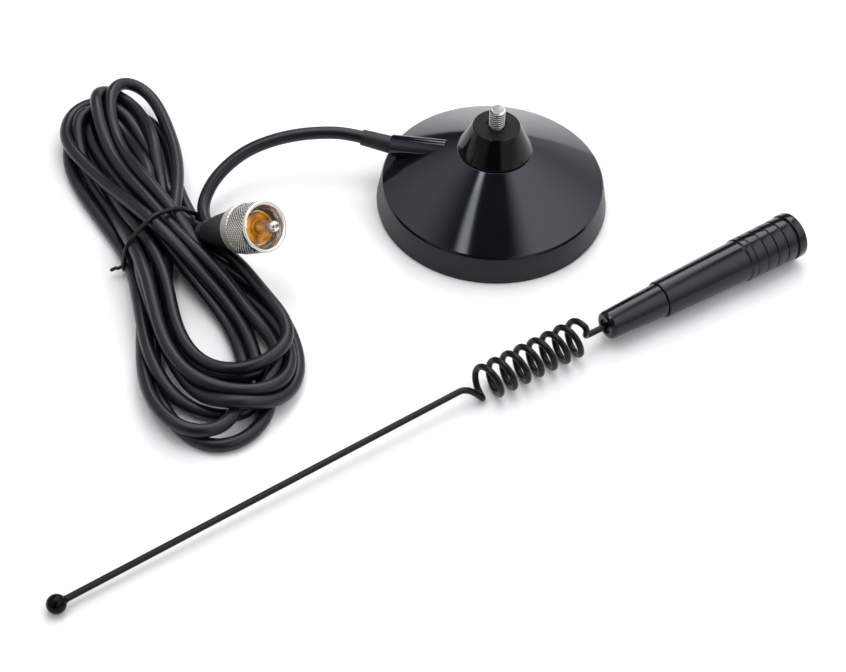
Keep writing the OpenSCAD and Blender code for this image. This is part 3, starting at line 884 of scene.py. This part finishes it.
def make_handle_nose():
    """The nose: a hair gap at the step, a long taper and a collared tip."""
    end = HANDLE_LENGTH
    corners = [(1.3, STEP_AT - 6, 0), (5.1, STEP_AT - 6, 0), (5.1, STEP_AT - 0.02, 0),
               (6.3, STEP_AT + 0.12, 0.1), (6.4, STEP_AT + 0.4, 0.2), (5.35, end - 1.5, 0.5),
               (5.0, end - 0.5, 0.5), (4.1, end, 0.4),
               (2.9, end, 0.2), (2.8, end - 2, 0), (1.3, end - 2, 0)]
    nose = turned("handle_nose_cap", rounded(corners), WHIP_FRAME, 160, crease=40)
    wear(nose, "handle")
    riding(nose, "whip", "handle", "handle_nose")


WIRE_D = 2.4
BALL_D = 6.8
COIL_R = 6.0
COIL_PITCH = 5.87
COIL_PHASE = math.radians(160)
FIRST_TURN = 0.03
LAST_TURN = 7.57
HOOK = np.array([0, 0, 96.4])
COIL_START = np.array([0.3, -1.33, 98.8])
COIL_END = np.array([0, -1, 149.2])
ROD_START = np.array([-0.3, -2.5, 146.5])
BALL_CENTRE = np.array([1.6, 1.46, 311.8])


def coil_point(turns):
    angle = COIL_PHASE + 2 * math.pi * turns
    axis = unit(COIL_END - COIL_START)
    return COIL_START + axis * COIL_PITCH * turns + COIL_R * np.array([math.cos(angle), math.sin(angle), 0])


def heading(turns):
    return unit(coil_point(turns + 0.01) - coil_point(turns - 0.01))


def bend(a, leave, b, arrive, count):
    """Curve that leaves point a along leave and arrives at point b along arrive."""
    steps = [i / count for i in range(1, count)]
    return [(1 - t) ** 3 * a + 3 * (1 - t) ** 2 * t * (a + leave)
            + 3 * (1 - t) * t * t * (b - arrive) + t**3 * b for t in steps]


def in_whip(place):
    return np.array(WHIP_FRAME @ Vector(place))


def make_wire():
    """One wire: out of the nose, through the open coil, and straight to the ball."""
    rod_dir = unit(BALL_CENTRE - ROD_START)
    rod_from = ROD_START + 5.5 * rod_dir
    steps = 360
    helix = [coil_point(FIRST_TURN + (LAST_TURN - FIRST_TURN) * i / steps) for i in range(steps + 1)]
    line = [np.array([0, 0, STEP_AT - 3]), np.array([0, 0, 86.0]), HOOK - np.array([0, 0, 1]), HOOK]
    line += bend(HOOK, np.array([0, 0, 3.4]), helix[0], 3.2 * heading(FIRST_TURN), 16) + helix
    line += bend(helix[-1], 3.6 * heading(LAST_TURN), rod_from, 5.5 * rod_dir, 16)
    line += [rod_from, rod_from + rod_dir, (rod_from + BALL_CENTRE) / 2, BALL_CENTRE - 0.5 * rod_dir]
    wire = tube_mesh("whip_rod", [in_whip(place) for place in line], WIRE_D / 2)
    wear(wire, "wire")
    riding(wire, "whip", "wire", "whip_wire")


def make_ball():
    """The tip ball, with a small rounded collar where the wire enters it."""
    rod_dir = unit(BALL_CENTRE - ROD_START)
    radius = BALL_D / 2
    tilt = math.degrees(math.acos(rod_dir[2]))
    bearing = math.degrees(math.atan2(rod_dir[1], rod_dir[0]))
    where = WHIP_FRAME @ placed(BALL_CENTRE, tilt, bearing)
    neck = math.asin((WIRE_D / 2 + 0.35) / radius)
    arc = [(radius * math.sin(a), -radius * math.cos(a)) for a in np.linspace(neck, math.pi - 0.02, 40)]
    foot = -radius * math.cos(neck)
    wire_r = WIRE_D / 2
    outline = [(0, 0), (wire_r + 0.02, 0), (wire_r + 0.02, foot - 0.55), (wire_r + 0.1, foot - 0.6)]
    outline += [(wire_r + 0.16, foot - 0.35)] + arc + [(0, radius)]
    ball = turned("tip_ball_moulding", outline, where, 64, crease=60)
    wear(ball, "ball")
    riding(ball, "whip", "wire", "tip_ball")


make_handle_body()
make_handle_nose()
make_wire()
make_ball()

# ---------------------------------------------------------------- floor, lights and world


def make_floor():
    half = 20.0
    corners = [(-half, -half, 0), (half, -half, 0), (half, half, 0), (-half, half, 0)]
    mesh = bpy.data.meshes.new("floor")
    mesh.from_pydata(corners, [], [(0, 1, 2, 3)])
    floor = bpy.data.objects.new("floor", mesh)
    bpy.context.scene.collection.objects.link(floor)
    surface = grained(
        "floor_white", (0.86, 0.86, 0.865), (0.90, 0.90, 0.905),
        roughness=0.6, grain=300, depth=0.00001, specular=0.25)
    mesh.materials.append(surface.material)


ROOM_LIGHT = 0.04       # what comes from everywhere, besides the panels


def area_light(name, place, target, size, power):
    data = bpy.data.lights.new(name, "AREA")
    data.shape = "RECTANGLE"
    data.size = size[0]
    data.size_y = size[1]
    data.energy = power
    light = bpy.data.objects.new(name, data)
    bpy.context.scene.collection.objects.link(light)
    place = Vector(place)
    aim = (Vector(target) - place).to_track_quat("-Z", "Y")
    light.matrix_world = Matrix.Translation(place) @ aim.to_matrix().to_4x4()


def make_lights():
    area_light("back_box", (0.05, 1.25, 1.15), (0, 0, 0), (0.9, 0.8), 10.6)
    area_light("key_box", (-0.12, 0.34, 1.55), (-0.03, -0.05, 0), (1.0, 1.0), 10.5)


def make_world():
    """A studio of soft panels left and right, a thin strip near the top left, and a dark gap between."""
    world = bpy.data.worlds.new("studio")
    world.use_nodes = True
    tree = world.node_tree

    def linked(node, value, socket):
        if isinstance(value, (int, float)):
            node.inputs[socket].default_value = value
        else:
            tree.links.new(value, node.inputs[socket])

    def math_node(operation, first, second):
        node = tree.nodes.new("ShaderNodeMath")
        node.operation = operation
        linked(node, first, 0)
        linked(node, second, 1)
        return node.outputs[0]

    def soft_step(value, start, end, low=0.0, high=1.0):
        node = tree.nodes.new("ShaderNodeMapRange")
        node.interpolation_type = "SMOOTHSTEP"
        linked(node, value, "Value")
        for name, number in (("From Min", start), ("From Max", end), ("To Min", low), ("To Max", high)):
            node.inputs[name].default_value = number
        return node.outputs["Result"]

    split = tree.nodes.new("ShaderNodeSeparateXYZ")
    tree.links.new(tree.nodes.new("ShaderNodeTexCoord").outputs["Generated"], split.inputs["Vector"])
    to_right = split.outputs["X"]
    to_left = math_node("MULTIPLY", to_right, -1.0)
    up = split.outputs["Z"]
    right_panel = math_node("MULTIPLY", soft_step(to_right, 0.20, 0.46), soft_step(up, 0.2, 0.9, 0.65, 2.35))
    left_panel = math_node("MULTIPLY", soft_step(to_left, 0.30, 0.66), soft_step(up, 0.2, 0.8, 0.35, 1.2))
    strip_on = math_node("MULTIPLY", soft_step(to_left, 0.19, 0.22), soft_step(to_left, 0.33, 0.27))
    strip = math_node("MULTIPLY", strip_on, soft_step(up, 0.86, 0.92, 0.0, 5.2))
    panels = math_node("ADD", math_node("ADD", right_panel, left_panel), strip)
    radiance = math_node("ADD", panels, ROOM_LIGHT)
    tree.nodes["Background"].inputs["Color"].default_value = (0.985, 0.99, 1.0, 1)
    tree.links.new(radiance, tree.nodes["Background"].inputs["Strength"])
    bpy.context.scene.world = world


make_floor()
make_lights()
make_world()
bpy.context.scene.view_settings.view_transform = "Standard"

bpy.context.view_layer.update()
